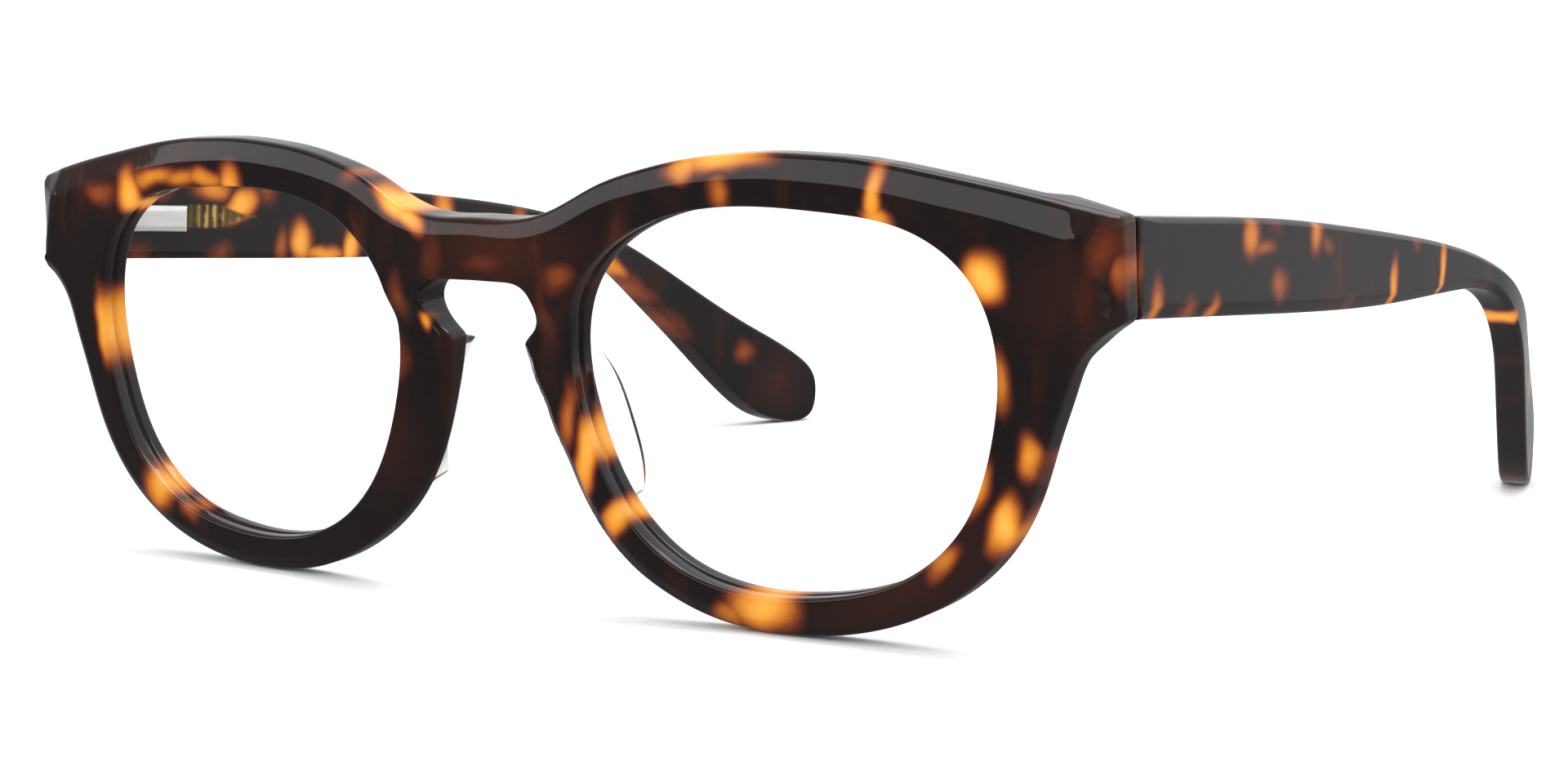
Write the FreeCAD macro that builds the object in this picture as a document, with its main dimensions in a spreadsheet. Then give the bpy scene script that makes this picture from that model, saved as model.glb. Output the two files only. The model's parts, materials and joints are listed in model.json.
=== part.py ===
"""Full-rim acetate eyeglasses frame with spring hinges, as a parametric FreeCAD document.

Two local frames are used. In the front's frame X is to the wearer's left, Y goes back from
the lens plane and Z is up the front. In a hinge's frame the origin is the hinge pin, X points
out of the temple, Y runs back along it and Z is up the pin. The whole object stands on the
rim bottoms and the temple tips, with the origin under the middle of its box.
"""
import FreeCAD, Part
import math
import os
from FreeCAD import Vector, Placement, Rotation

DOCUMENT = FreeCAD.newDocument("eyeglasses_frame")
SHEET = DOCUMENT.addObject("Spreadsheet::Sheet", "sizes")

# Driving dimensions, in millimetres and degrees.
SIZES = [
    # front
    ("lens_width", 49.4), ("lens_height", 39.9), ("bridge_width", 23.7), ("lens_drop", 5.7),
    ("front_width", 147.2), ("rim_bottom", 4.1), ("brow_height", 19.6), ("bridge_top", 12.2),
    ("neck_half", 5.0), ("neck_drop", 1.1), ("arch_half", 8.0), ("arch_side", 3.2),
    ("arch_top", 5.6), ("bow_radius", 492.0), ("front_thickness", 4.0),
    ("bridge_rise", 1.35), ("bridge_bow", 60.0), ("front_tilt", 3.67),
    ("brow_bevel", 2.2), ("brow_bevel_depth", 0.9),
    ("end_thick", 4.9638), ("end_block", 7.0), ("end_corner", 2.2), ("end_drop", 1.5),
    ("groove_depth", 0.6), ("groove_opening", 1.0),
    # nose pads
    ("pad_height", 17.4), ("pad_drop", 10.2), ("pad_root", 3.2), ("pad_edge", 1.3),
    ("pad_reach", 5.0), ("pad_flare", 4.7),
    # temples
    ("temple_height", 10.0), ("temple_thickness", 4.0), ("temple_straight", 95.0),
    ("temple_length", 139.0), ("tip_drop", 29.9), ("tip_turn_radius", 57.0),
    ("tip_turn", 17.0), ("temple_slope", 3.8), ("toe_in", 1.15), ("temple_bevel", 1.1),
    ("temple_round", 0.5), ("mitre_gap", 0.06),
    # hinges
    ("pin_inset", 0.8), ("pin_rise", 8.5), ("barrel_radius", 1.3), ("barrel_half", 2.2),
    ("knuckle_half", 0.85), ("knuckle_gap", 0.05), ("screw_radius", 0.6),
    ("head_radius", 1.0), ("head_thick", 0.5), ("slot_width", 0.25), ("slot_deep", 0.25),
    ("running_gap", 0.05), ("free_gap", 0.2),
    ("foot_start", 1.6), ("foot_depth", 2.9), ("foot_half", 1.0), ("foot_rise", 2.2),
    ("foot_rib", 0.35),
    # spring housing and what it holds
    ("housing_start", 2.7), ("housing_length", 12.0), ("housing_half", 1.6),
    ("housing_proud", 2.1), ("housing_sunk", 1.2), ("housing_wall", 0.7),
    ("cavity_radius", 1.0), ("rod_radius", 0.4), ("arm_half", 0.8), ("rod_room", 2.1),
    ("retainer_radius", 0.85), ("retainer_thick", 0.9),
    ("wire_radius", 0.25), ("coil_radius", 0.7), ("coil_turns", 9.0),
    # temple core
    ("core_start", 17.8), ("core_rise", 0.3), ("core_bend", 26.0), ("core_radius", 24.0),
    ("core_rib_length", 6.0), ("core_half", 1.5), ("core_thick", 0.6), ("core_rib", 0.4),
    ("core_wire", 0.6), ("core_end", 112.0), ("core_taper", 5.0), ("core_inset", 2.0),
]
for row, (alias, number) in enumerate(SIZES, start=1):
    SHEET.set("A%d" % row, alias)
    SHEET.set("B%d" % row, str(number))
    SHEET.setAlias("B%d" % row, alias)
DOCUMENT.recompute()


def size(alias):
    """A driving dimension, read from the sheet."""
    return float(SHEET.get(alias))


def bind(item, **formulas):
    """Bind properties to sheet formulas; double underscores stand for dots."""
    for prop, formula in formulas.items():
        words = []
        for word in formula.replace("(", " ( ").replace(")", " ) ").split():
            words.append("sizes." + word if word in ALIASES else word)
        item.setExpression(prop.replace("__", "."), " ".join(words))
    return item


ALIASES = {alias for alias, number in SIZES}


def box(name, low, high):
    """A Part::Box between two corners given as formulas."""
    item = DOCUMENT.addObject("Part::Box", name)
    for prop, axis, start, end in zip(("Length", "Width", "Height"), "xyz", low, high):
        bind(item, **{"Placement__Base__" + axis: start, prop: "( %s ) - ( %s )" % (end, start)})
    return item


def rod(name, radius, length, start=("0", "0", "0"), along="Z"):
    """A Part::Cylinder with its start point and size given as formulas."""
    item = DOCUMENT.addObject("Part::Cylinder", name)
    turn = {"Z": Rotation(), "Y": Rotation(Vector(1, 0, 0), -90), "X": Rotation(Vector(0, 1, 0), 90)}
    item.Placement = Placement(Vector(), turn[along])
    bind(item, Radius=radius, Height=length)
    for axis, formula in zip("xyz", start):
        bind(item, **{"Placement__Base__" + axis: formula})
    return item


def fuse(name, *shapes):
    item = DOCUMENT.addObject("Part::MultiFuse", name)
    item.Shapes = list(shapes)
    item.Refine = True
    return item


def common(name, *shapes):
    item = DOCUMENT.addObject("Part::MultiCommon", name)
    item.Shapes = list(shapes)
    return item


def cut(name, base, tool):
    item = DOCUMENT.addObject("Part::Cut", name)
    item.Base = base
    item.Tool = tool
    return item


def copy_of(name, source, placement=None):
    """A linked copy of a shape, moved by a placement."""
    item = DOCUMENT.addObject("Part::Compound", name)
    item.Links = [source]
    if placement is not None:
        item.Placement = placement
    return item


def mirrored(name, source):
    """The same piece for the other side of the face."""
    item = DOCUMENT.addObject("Part::Mirroring", name)
    item.Source = source
    item.Normal = Vector(1, 0, 0)
    item.Base = Vector(0, 0, 0)
    return item


def spline(points, closed=False):
    curve = Part.BSplineCurve()
    curve.interpolate([Vector(x, y, 0) for x, y in points], PeriodicFlag=closed)
    return curve


def segment(start, end):
    return Part.LineSegment(Vector(start[0], start[1], 0), Vector(end[0], end[1], 0))


def polygon(points):
    """Closed straight lines through points."""
    return [segment(start, end) for start, end in zip(points, points[1:] + points[:1])]


def middle_of(edge):
    start, end = edge.ParameterRange
    return edge.valueAt((start + end) / 2)


def profile(name, plane, curves):
    """A sketch of closed curves on the XY, XZ or YZ plane."""
    sketch = DOCUMENT.addObject("Sketcher::SketchObject", name)
    turns = {"XY": Rotation(), "XZ": Rotation(Vector(1, 0, 0), 90),
             "YZ": Rotation(Vector(1, 1, 1), 120)}
    sketch.Placement = Placement(Vector(), turns[plane])
    sketch.addGeometry(curves, False)
    return sketch


def prism(name, sketch, reach):
    """A sketch extruded the same distance to both sides."""
    item = DOCUMENT.addObject("Part::Extrusion", name)
    item.Base = sketch
    item.DirMode = "Normal"
    item.Solid = True
    item.Symmetric = True
    item.LengthFwd = reach
    return item


def picked(base, wanted):
    """Numbers of the edges of a shape that a test picks."""
    DOCUMENT.recompute()
    return [number for number, edge in enumerate(base.Shape.Edges, start=1) if wanted(edge)]


def bevelled(name, base, wanted, first, second):
    """A chamfer along the edges that a test picks."""
    item = DOCUMENT.addObject("Part::Chamfer", name)
    item.Base = base
    item.Edges = [(number, first, second) for number in picked(base, wanted)]
    return item


def rounded(name, base, wanted, radius):
    """A fillet along the edges that a test picks."""
    item = DOCUMENT.addObject("Part::Fillet", name)
    item.Base = base
    item.Edges = [(number, radius, radius) for number in picked(base, wanted)]
    return item


def mirror_points(points):
    return [(-x, z) for x, z in reversed(points)]


# ------------------------------------------------------------------ front outline

HALF_WIDTH = size("front_width") / 2
LENS_X = size("bridge_width") / 2 + size("lens_width") / 2
LENS_Z = -size("lens_drop")
RIM_LOW = LENS_Z - size("lens_height") / 2 - size("rim_bottom")

# The lens shape, as fractions of its half width and half height.
LENS_SHAPE = [(1.0, 0.29), (0.89, 0.67), (0.63, 0.90), (0.26, 0.98), (-0.07, 1.0),
              (-0.47, 0.94), (-0.79, 0.75), (-0.94, 0.53), (-1.0, 0.22), (-0.95, -0.16),
              (-0.80, -0.57), (-0.52, -0.88), (-0.15, -1.0), (0.21, -0.98), (0.57, -0.85),
              (0.84, -0.55), (0.97, -0.13)]


def lens_outline(grow):
    """The lens shape, grown all round by a distance, about the lens centre."""
    wide = size("lens_width") / 2 + grow
    high = size("lens_height") / 2 + grow
    return [(LENS_X + wide * x, LENS_Z + high * z) for x, z in LENS_SHAPE]


def outline_top():
    """Right half of the upper outline: bridge, then brow, then end piece."""
    low = size("bridge_top")
    top = size("brow_height")
    nose = size("bridge_width") / 2
    end = size("pin_rise") + size("temple_height") / 2 + 0.25
    rise = top - low
    fall = top - end
    wide = HALF_WIDTH - LENS_X
    return [(0, low), (0.5 * nose, low), (0.89 * nose, low + 0.15 * rise),
            (nose + 4.2, low + 0.51 * rise), (nose + 9.2, low + 0.73 * rise),
            (LENS_X - 10.5, top - 0.12 * rise), (LENS_X - 5.5, top - 0.04 * rise),
            (LENS_X, top), (LENS_X + 0.12 * wide, top - 0.02 * fall),
            (LENS_X + 0.26 * wide, top - 0.07 * fall), (LENS_X + 0.52 * wide, top - 0.32 * fall),
            (LENS_X + 0.79 * wide, top - 0.66 * fall), (HALF_WIDTH, end)]


def outline_low():
    """Right half of the lower outline: end piece, round the rim, up to the bridge neck."""
    out = LENS_X + size("lens_width") / 2
    nose = size("bridge_width") / 2
    end = size("pin_rise") - size("temple_height") / 2 + 0.1
    low = RIM_LOW
    return [(HALF_WIDTH, end), (HALF_WIDTH - 2.1, end - 1.4), (out + 8.0, end - 3.9),
            (out + 6.6, end - 7.3), (out + 4.9, LENS_Z - 2.6), (out + 2.7, LENS_Z - 8.9),
            (out - 2.1, low + 8.0), (out - 9.6, low + 3.0), (LENS_X + 7.6, low + 0.7),
            (LENS_X, low), (LENS_X - 8.0, low + 0.7), (nose + 8.7, low + 3.7),
            (nose + 0.7, low + 10.0), (size("neck_half") + 4.3, low + 15.0),
            (size("neck_half") + 2.5, low + 19.4), (size("neck_half") + 0.9, low + 24.7),
            (size("neck_half"), -size("neck_drop"))]


def arch():
    """Right half of the keyhole's round top, from the neck to the middle."""
    return [(size("neck_half"), -size("neck_drop")),
            (size("arch_half") - 0.7, size("neck_drop")),
            (size("arch_half"), size("arch_side")),
            (size("arch_half") - 1.4, size("arch_top") - 0.5),
            (size("arch_half") / 2, size("arch_top") - 0.05), (0, size("arch_top"))]


def front_outline():
    """The front's whole edge, closed."""
    top = outline_top()
    low = outline_low()
    hollow = arch()
    end_top, end_low = top[-1], low[0]
    return [spline(mirror_points(top)[:-1] + top), segment(end_top, end_low), spline(low),
            spline(hollow + mirror_points(hollow)[1:]), spline(mirror_points(low)),
            segment(mirror_points([end_low])[0], mirror_points([end_top])[0])]


# ------------------------------------------------------------------ front solid

# Half the length of the stock that outlines are cut from; larger than any piece is across.
REACH = 60.0


def bow(name, radius, front):
    """An upright cylinder whose front line lies at a given depth."""
    return rod(name, radius, "%g" % (2 * REACH), ("0", "( %s ) + ( %s )" % (front, radius),
                                                 "%g" % -REACH))


# Depth of the end pieces' rear faces: behind the bowed front surface at its full width.
END_DEPTH = "bow_radius - ( bow_radius ^ 2 - front_width ^ 2 / 4 ) ^ 0.5 + end_thick"


def end_block(name, side):
    """The thick end piece that carries the hinge, on one side."""
    inner = "front_width / 2 - end_block"
    low, high = (inner, "front_width / 2")
    if side < 0:
        low, high = ("- ( %s )" % high, "- ( %s )" % low)
    return box(name, (low, "2", "pin_rise - temple_height / 2 - end_drop"),
               (high, END_DEPTH, "pin_rise + temple_height"))


def corner_wedge(name, side):
    """What the bevelled front corner of an end piece loses."""
    inner = HALF_WIDTH - 1.4 * size("end_corner")
    depth = bow_depth(HALF_WIDTH) + size("end_corner")
    points = [(inner, bow_depth(inner)), (HALF_WIDTH, depth), (HALF_WIDTH + 4, depth),
              (HALF_WIDTH + 4, -6), (inner, -6)]
    points = [(side * x, y) for x, y in points]
    return prism(name, profile(name + "_sketch", "XY", polygon(points)), 2 * REACH)


def bow_depth(x):
    """Depth of the front surface at a distance from the middle."""
    radius = size("bow_radius")
    return radius - math.sqrt(radius ** 2 - x ** 2)


def on_front(edge):
    """Whether an edge runs along the bowed front surface."""
    start, end = edge.ParameterRange
    places = [edge.valueAt(part) for part in (start, (start + end) / 2, end)]
    return all(abs(place.y - bow_depth(place.x)) < 0.01 for place in places)


def brow_edge(edge):
    return on_front(edge) and edge.Length > size("lens_width") and middle_of(edge).z > 0


def lens_prism(name, side, grow, reach):
    points = [(side * x, z) for x, z in lens_outline(grow)]
    return prism(name, profile(name + "_sketch", "XZ", [spline(points, closed=True)]), reach)


def lens_groove(name, side):
    """The V groove round one lens opening, as a ring cut by two bowed walls."""
    wide = lens_prism(name + "_ring", side, size("groove_depth"), 2 * REACH)
    middle = "front_thickness / 2"
    outer = bow(name + "_outer", "bow_radius", middle + " - groove_opening / 2")
    inner = bow(name + "_inner", "bow_radius", middle + " + groove_opening / 2")
    return common(name, wide, cut(name + "_band", outer, inner))


def build_front():
    blank = prism("front_blank", profile("front_outline", "XZ", front_outline()), 2 * REACH)
    outer = bow("front_bow", "bow_radius", "0")
    inner = bow("rear_bow", "bow_radius - front_thickness", "front_thickness")
    band = cut("front_band", outer, inner)
    top = size("brow_height")
    rise = size("bridge_rise")
    above = [(-2 * rise, top), (-2 * rise, size("arch_top") + rise), (-rise, size("arch_side")),
             (0.1 * rise, -size("neck_drop") - rise), (2 * rise, -size("neck_drop") - rise),
             (2 * rise, top)]
    reach = prism("bridge_reach", profile("bridge_side", "YZ", polygon(above)),
                  2 * size("bridge_width"))
    crown = common("bridge_crown", bow("bridge_bow_solid", "bridge_bow", "- bridge_rise"), reach)
    ends = fuse("end_blocks", end_block("end_block_left", 1), end_block("end_block_right", -1))
    ends = common("end_blocks_bowed", ends, bow("front_bow_ends", "bow_radius", "0"))
    slab = common("front_slab", blank, fuse("front_stock", band, crown, ends))
    slab = bevelled("front_bevelled", slab, brow_edge, size("brow_bevel_depth"), size("brow_bevel"))
    holes = fuse("front_holes", lens_prism("lens_hole_left", 1, 0, 2 * REACH),
                 lens_prism("lens_hole_right", -1, 0, 2 * REACH), lens_groove("groove_left", 1),
                 lens_groove("groove_right", -1), corner_wedge("corner_left", 1),
                 corner_wedge("corner_right", -1))
    return cut("front_rims", slab, holes)


# ------------------------------------------------------------------ hinge frame

PIN_X = HALF_WIDTH - size("temple_thickness") - size("pin_inset")
PITCH = size("temple_slope") + size("front_tilt")
HINGE = Placement(Vector(PIN_X, bow_depth(HALF_WIDTH) + size("end_thick"), size("pin_rise")),
                  Rotation(Vector(1, 0, 0), -PITCH) * Rotation(Vector(0, 0, 1), size("toe_in")))


def hinge_opening(name):
    """The room round the barrel, through the inner rear corner of the end piece."""
    tall = "barrel_half + head_thick + free_gap"
    return box(name, ("-6", "- foot_start", "- ( %s )" % tall),
               ("barrel_radius + free_gap", "4", tall))


def foot_pocket(name):
    return box(name, ("- foot_half", "- foot_start - foot_depth", "- foot_rise"),
               ("foot_half", "0", "foot_rise"))


def both_sides(name, tool):
    """A hinge-frame tool put at the left hinge, and its mirror image."""
    left = copy_of(name + "_left", tool, HINGE)
    return [left, mirrored(name + "_right", left)]


def build_front_hinge():
    """The leaf in the end piece: a ribbed foot and two knuckles."""
    inner = "foot_half - foot_rib"
    parts = [box("foot_core", ("- ( %s )" % inner, "- foot_start - foot_depth", "- foot_rise"),
                 (inner, "- foot_start", "foot_rise"))]
    for rib in range(3):
        start = "- foot_start - foot_depth + %d * foot_depth / 2.5" % rib
        parts.append(box("foot_rib_%d" % (rib + 1), ("- foot_half", start, "- foot_rise"),
                         ("foot_half", start + " + foot_depth / 5", "foot_rise")))
    gap = "knuckle_half + knuckle_gap"
    for name, low, high in (("upper", gap, "barrel_half"),
                            ("lower", "- barrel_half", "- ( %s )" % gap)):
        parts.append(rod(name + "_knuckle", "barrel_radius", "barrel_half - ( %s )" % gap,
                         ("0", "0", low)))
        parts.append(box(name + "_arm", ("- foot_half", "- foot_start", low),
                         ("foot_half", "0", high)))
    leaf = fuse("leaf_blank", *parts)
    return cut("leaf", leaf, rod("leaf_bore", "screw_radius", "2 * barrel_half + 2",
                                 ("0", "0", "- barrel_half - 1")))


def build_screw():
    """The slotted hinge screw: a shank turned with its head."""
    shank = rod("shank", "screw_radius", "2 * barrel_half", ("0", "0", "- barrel_half"))
    head = rod("head", "head_radius", "head_thick", ("0", "0", "barrel_half"))
    slot = box("slot", ("- head_radius - 1", "- slot_width / 2", "barrel_half + head_thick - slot_deep"),
               ("head_radius + 1", "slot_width / 2", "barrel_half + head_thick + 1"))
    return cut("screw", fuse("screw_blank", shank, head), slot)


# The rod ends this far along the temple, short of the case's rear by the plug's room.
ROD_END = "housing_start + housing_length - rod_room"


def build_slider():
    """The sprung middle knuckle with its arm and rod."""
    knuckle = rod("middle_knuckle", "barrel_radius", "2 * knuckle_half", ("0", "0", "- knuckle_half"))
    arm = box("arm", ("- arm_half", "0", "- arm_half"),
              ("arm_half", "housing_start - knuckle_gap", "arm_half"))
    stem = rod("stem", "rod_radius", ROD_END + " - arm_half", ("0", "arm_half", "0"), "Y")
    bore = rod("slider_bore", "screw_radius + running_gap", "6", ("0", "0", "-3"))
    return cut("slider", fuse("slider_blank", knuckle, arm, stem), bore)


CAVITY_START = "housing_start + housing_wall"


def build_retainer():
    """The collar pressed on the rod's end, which the coil pushes on."""
    start = ROD_END + " - retainer_thick"
    ring = rod("collar", "retainer_radius", "retainer_thick", ("0", start, "0"), "Y")
    hole = rod("collar_hole", "rod_radius", "retainer_thick + 2", ("0", start + " - 1", "0"), "Y")
    return cut("retainer", ring, hole)


def build_coil():
    """The coil between the housing's front wall and the collar."""
    start = size("housing_start") + size("housing_wall")
    rod_end = size("housing_start") + size("housing_length") - size("rod_room")
    end = rod_end - size("retainer_thick")
    wire = size("wire_radius")
    slack = 0.03
    length = end - start - 2 * (wire + slack)
    helix = Part.makeHelix(length / size("coil_turns"), length, size("coil_radius"))
    section = Part.Wire(Part.Circle(Vector(size("coil_radius"), 0, 0), Vector(0, 1, 0), wire).toShape())
    coil = Part.Wire(helix).makePipeShell([section], True, True)
    item = DOCUMENT.addObject("Part::Feature", "coil")
    item.Shape = coil
    item.Placement = Placement(Vector(0, start + wire + slack, 0), Rotation(Vector(1, 0, 0), -90))
    return item


def build_housing():
    """The case of the spring hinge, let into the temple's inner face."""
    low = ("pin_inset - housing_proud", "housing_start", "- housing_half")
    high = ("pin_inset + housing_sunk", "housing_start + housing_length", "housing_half")
    case = box("case_blank", low, high)
    round_off = DOCUMENT.addObject("Part::Fillet", "case_rounded")
    round_off.Base = case
    DOCUMENT.recompute()
    inner = size("pin_inset") - size("housing_proud")
    rear = size("housing_start") + size("housing_length")
    edges = []
    for number, edge in enumerate(case.Shape.Edges, start=1):
        middle = edge.CenterOfMass
        if abs(middle.x - inner) < 0.01 and abs(middle.y - size("housing_start")) > 0.1:
            radius = 0.9 if abs(middle.y - rear) < 0.01 else 0.7
            edges.append((number, radius, radius))
    round_off.Edges = edges
    cavity = rod("cavity", "cavity_radius", "housing_length", ("0", CAVITY_START, "0"), "Y")
    mouth = rod("mouth", "rod_radius + running_gap", "housing_length",
                ("0", "housing_start - 1", "0"), "Y")
    return cut("housing", round_off, fuse("housing_hollow", cavity, mouth))


def build_plug():
    """The plug that closes the housing's rear end."""
    start = ROD_END + " + free_gap"
    return rod("plug", "cavity_radius", "rod_room - free_gap - 0.9", ("0", start, "0"), "Y")


# ------------------------------------------------------------------ temple

def temple_side():
    """The temple's side view: deep at the hinge, a narrow waist, then the paddle tip."""
    half = size("temple_height") / 2
    bend = size("temple_straight")
    tail = size("temple_length") - bend
    drop = size("tip_drop")
    top = [(-4, half), (0.15 * bend, half), (0.32 * bend, half), (0.5 * bend, 0.88 * half),
           (0.68 * bend, 0.69 * half), (0.8 * bend, 0.52 * half), (0.9 * bend, 0.3 * half),
           (bend, -0.01 * drop), (bend + 0.23 * tail, -0.12 * drop),
           (bend + 0.46 * tail, -0.3 * drop), (bend + 0.71 * tail, -0.5 * drop),
           (bend + 0.92 * tail, -0.66 * drop)]
    tip = [(bend + 0.985 * tail, -0.745 * drop), (bend + tail, -0.86 * drop),
           (bend + 0.98 * tail, -0.96 * drop), (bend + 0.9 * tail, -drop)]
    low = [(bend + 0.79 * tail, -0.965 * drop), (bend + 0.67 * tail, -0.855 * drop),
           (bend + 0.49 * tail, -0.62 * drop), (bend + 0.29 * tail, -0.365 * drop),
           (bend + 0.15 * tail, -0.215 * drop), (bend + 0.06 * tail, -0.15 * drop),
           (bend - 1.6, -0.11 * drop), (0.9 * bend, -0.61 * half), (0.8 * bend, -0.73 * half),
           (0.69 * bend, -0.87 * half), (0.59 * bend, -0.95 * half), (0.41 * bend, -half),
           (0.2 * bend, -half), (-4, -half)]
    outline = top + tip + low
    return [spline(outline), segment(outline[-1], outline[0])]


def temple_plan():
    """The temple's top view: straight, then turned in towards the head."""
    inner = size("pin_inset")
    outer = inner + size("temple_thickness")
    bend = size("temple_straight")
    radius = size("tip_turn_radius")
    angle = math.radians(size("tip_turn"))
    centre = (inner + outer) / 2 - radius
    run = 2 * (size("temple_length") - bend)

    def face(side):
        """One face: where its arc starts, the arc, where the arc ends, and the tip's end."""
        reach = side - centre
        turn = (centre + reach * math.cos(angle), bend + reach * math.sin(angle))
        end = (turn[0] - run * math.sin(angle), turn[1] + run * math.cos(angle))
        middle = (centre + reach * math.cos(angle / 2), bend + reach * math.sin(angle / 2))
        start = (side, bend)
        arc = Part.Arc(*[Vector(x, y, 0) for x, y in (start, middle, turn)])
        return start, arc, turn, end

    out_start, out_arc, out_turn, out_end = face(outer)
    in_start, in_arc, in_turn, in_end = face(inner)
    return [segment((outer, -4), out_start), out_arc, segment(out_turn, out_end),
            segment(out_end, in_end), segment(in_end, in_turn), in_arc,
            segment(in_start, (inner, -4)), segment((inner, -4), (outer, -4))]


def core_wire():
    """The core's wire: straight back, then down and in with the tip."""
    x = size("pin_inset") + size("core_inset")
    start = Vector(x, size("core_start") + size("core_rib_length"), size("core_rise"))
    corner = Vector(x, size("temple_straight") - 5, size("core_rise"))
    away = Vector(-0.11, 1, -math.tan(math.radians(size("core_bend"))))
    end = corner + away * (size("core_end") - corner.y)
    away.normalize()
    turn = Vector(0, 1, 0).getAngle(away)
    tangent = size("core_radius") * math.tan(turn / 2)
    first = corner - Vector(0, tangent, 0)
    last = corner + away * tangent
    inward = away - Vector(0, 1, 0)
    inward.normalize()
    middle = corner + inward * (size("core_radius") * (1 / math.cos(turn / 2) - 1))
    path = Part.Wire([Part.LineSegment(start, first).toShape(), Part.Arc(first, middle, last).toShape(),
                      Part.LineSegment(last, end).toShape()])
    section = Part.Wire(Part.Circle(start, Vector(0, 1, 0), size("core_wire")).toShape())
    item = DOCUMENT.addObject("Part::Feature", "core_wire")
    item.Shape = path.makePipeShell([section], True, True)
    return item


def build_core():
    """The metal core: a flat ribbed front end, then a wire down into the tip."""
    middle = "pin_inset + core_inset"
    neck_start = "housing_start + housing_length"
    parts = [box("core_neck", (middle + " - core_thick", neck_start, "core_rise - core_half / 2"),
                 (middle + " + core_thick", "core_start", "core_rise + core_half / 2")),
             box("core_flat", (middle + " - core_thick", "core_start", "core_rise - core_half"),
                 (middle + " + core_thick", "core_start + core_rib_length", "core_rise + core_half"))]
    for rib in range(4):
        start = "core_start + %d * core_rib_length / 4 + core_rib" % rib
        parts.append(box("core_rib_%d" % (rib + 1),
                         (middle + " - core_thick - core_rib", start, "core_rise - core_half"),
                         (middle + " + core_thick + core_rib", start + " + core_rib",
                          "core_rise + core_half")))
    cone = DOCUMENT.addObject("Part::Cone", "core_cone")
    cone.Placement = Placement(Vector(), Rotation(Vector(1, 0, 0), -90))
    bind(cone, Radius1="core_thick + core_rib", Radius2="core_wire", Height="core_taper",
         Placement__Base__x=middle, Placement__Base__y="core_start + core_rib_length",
         Placement__Base__z="core_rise")
    return fuse("core", *parts, cone, core_wire())


def outer_low_edge(edge):
    """Whether an edge is the straight lower edge of the temple's outer face."""
    middle = middle_of(edge)
    outer = size("pin_inset") + size("temple_thickness")
    return edge.Length > size("temple_height") and abs(middle.x - outer) < 0.01 and middle.z < 0


def long_edge(edge):
    """Whether an edge runs the temple's length on its inner face or along its top."""
    middle = middle_of(edge)
    centre = size("pin_inset") + size("temple_thickness") / 2
    if edge.Length < size("temple_height") or middle.y < 0:
        return False
    return middle.x < centre or middle.z > 0


def build_temple(housing_room, core):
    side = prism("temple_side_prism", profile("temple_side", "YZ", temple_side()), 2 * REACH)
    plan = prism("temple_plan_prism", profile("temple_plan", "XY", temple_plan()), 2 * REACH)
    blank = common("temple_blank", side, plan)
    blank = bevelled("temple_bevelled", blank, outer_low_edge, size("temple_bevel"),
                     0.7 * size("temple_bevel"))
    blank = rounded("temple_rounded", blank, long_edge, size("temple_round"))
    mitre = DOCUMENT.addObject("Part::Box", "mitre")
    mitre.Length = mitre.Width = mitre.Height = REACH
    corner = Vector(-REACH / 2, size("mitre_gap") - REACH, -REACH / 2)
    mitre.Placement = Placement(Vector(), HINGE.Rotation.inverted()) * Placement(corner, Rotation())
    tall = "barrel_half + head_thick + free_gap"
    notch = box("barrel_notch", ("-2", "-3", "- ( %s )" % tall),
                ("barrel_radius + free_gap", "housing_start", tall))
    return cut("temple", blank, fuse("temple_room", mitre, notch, housing_room, core))


# ------------------------------------------------------------------ nose pads

def rim_nose_side(drop):
    """How far out the rim's nose side is at a distance below the lens plane's middle."""
    return size("neck_half") + 0.2 + 0.056 * drop + 0.016 * drop ** 2


def pad_section(name, depth, out, wide, tall):
    """A crescent across the pad: it follows the rim's nose side, moved out by a distance."""
    def side(share, away):
        drop = size("pad_drop") + share * tall / 2
        flare = out * (1 - 0.25 * (share + 0.25) ** 2)
        return (rim_nose_side(drop) + flare + away, -drop)
    shares = (-0.85, -0.45, 0, 0.45, 0.85)
    points = [side(-1, wide / 2)] + [side(share, 0) for share in shares] + [side(1, wide / 2)]
    points += [side(share, wide) for share in reversed(shares)]
    sketch = profile(name, "XZ", [spline(points, closed=True)])
    sketch.Placement.Base = Vector(0, depth, 0)
    return sketch


def build_pad():
    """A glued nose pad that flares out as it goes back from the rim."""
    root, edge = size("pad_root"), size("pad_edge")
    back = size("front_thickness")
    reach, flare, tall = size("pad_reach"), size("pad_flare"), size("pad_height")
    loft = DOCUMENT.addObject("Part::Loft", "pad_loft")
    loft.Sections = [pad_section("pad_at_rim", back - 0.8, 0.3, root, 1.05 * tall),
                     pad_section("pad_middle", back + reach / 2, 0.45 * flare,
                                 (root + edge) / 2, tall),
                     pad_section("pad_at_edge", back + reach, flare, edge, 0.9 * tall)]
    loft.Solid = True
    behind = bow("pad_bow", "bow_radius - front_thickness", "front_thickness")
    return common("pad", loft, behind)


# ------------------------------------------------------------------ assembly

def standing_place(pieces):
    """The placement that stands the tilted pieces on the origin's plane, centred along Y."""
    tilt = Placement(Vector(), Rotation(Vector(1, 0, 0), size("front_tilt")))
    extent = FreeCAD.BoundBox()
    for label, source in pieces:
        shape = source.Shape.copy()
        shape.Placement = tilt * shape.Placement
        extent.add(shape.optimalBoundingBox(False, False))
    return Placement(Vector(0, -(extent.YMin + extent.YMax) / 2, -extent.ZMin), tilt.Rotation)


def check(items):
    """Stop before anything is written if an object failed."""
    for item in items:
        if "Invalid" in item.State or "Error" in item.State:
            raise RuntimeError("%s failed: %s" % (item.Name, item.State))
        if hasattr(item, "Shape") and item.isDerivedFrom("Part::Feature"):
            if item.Shape.isNull() or not item.Shape.isValid():
                raise RuntimeError("%s has no valid shape" % item.Name)


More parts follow.
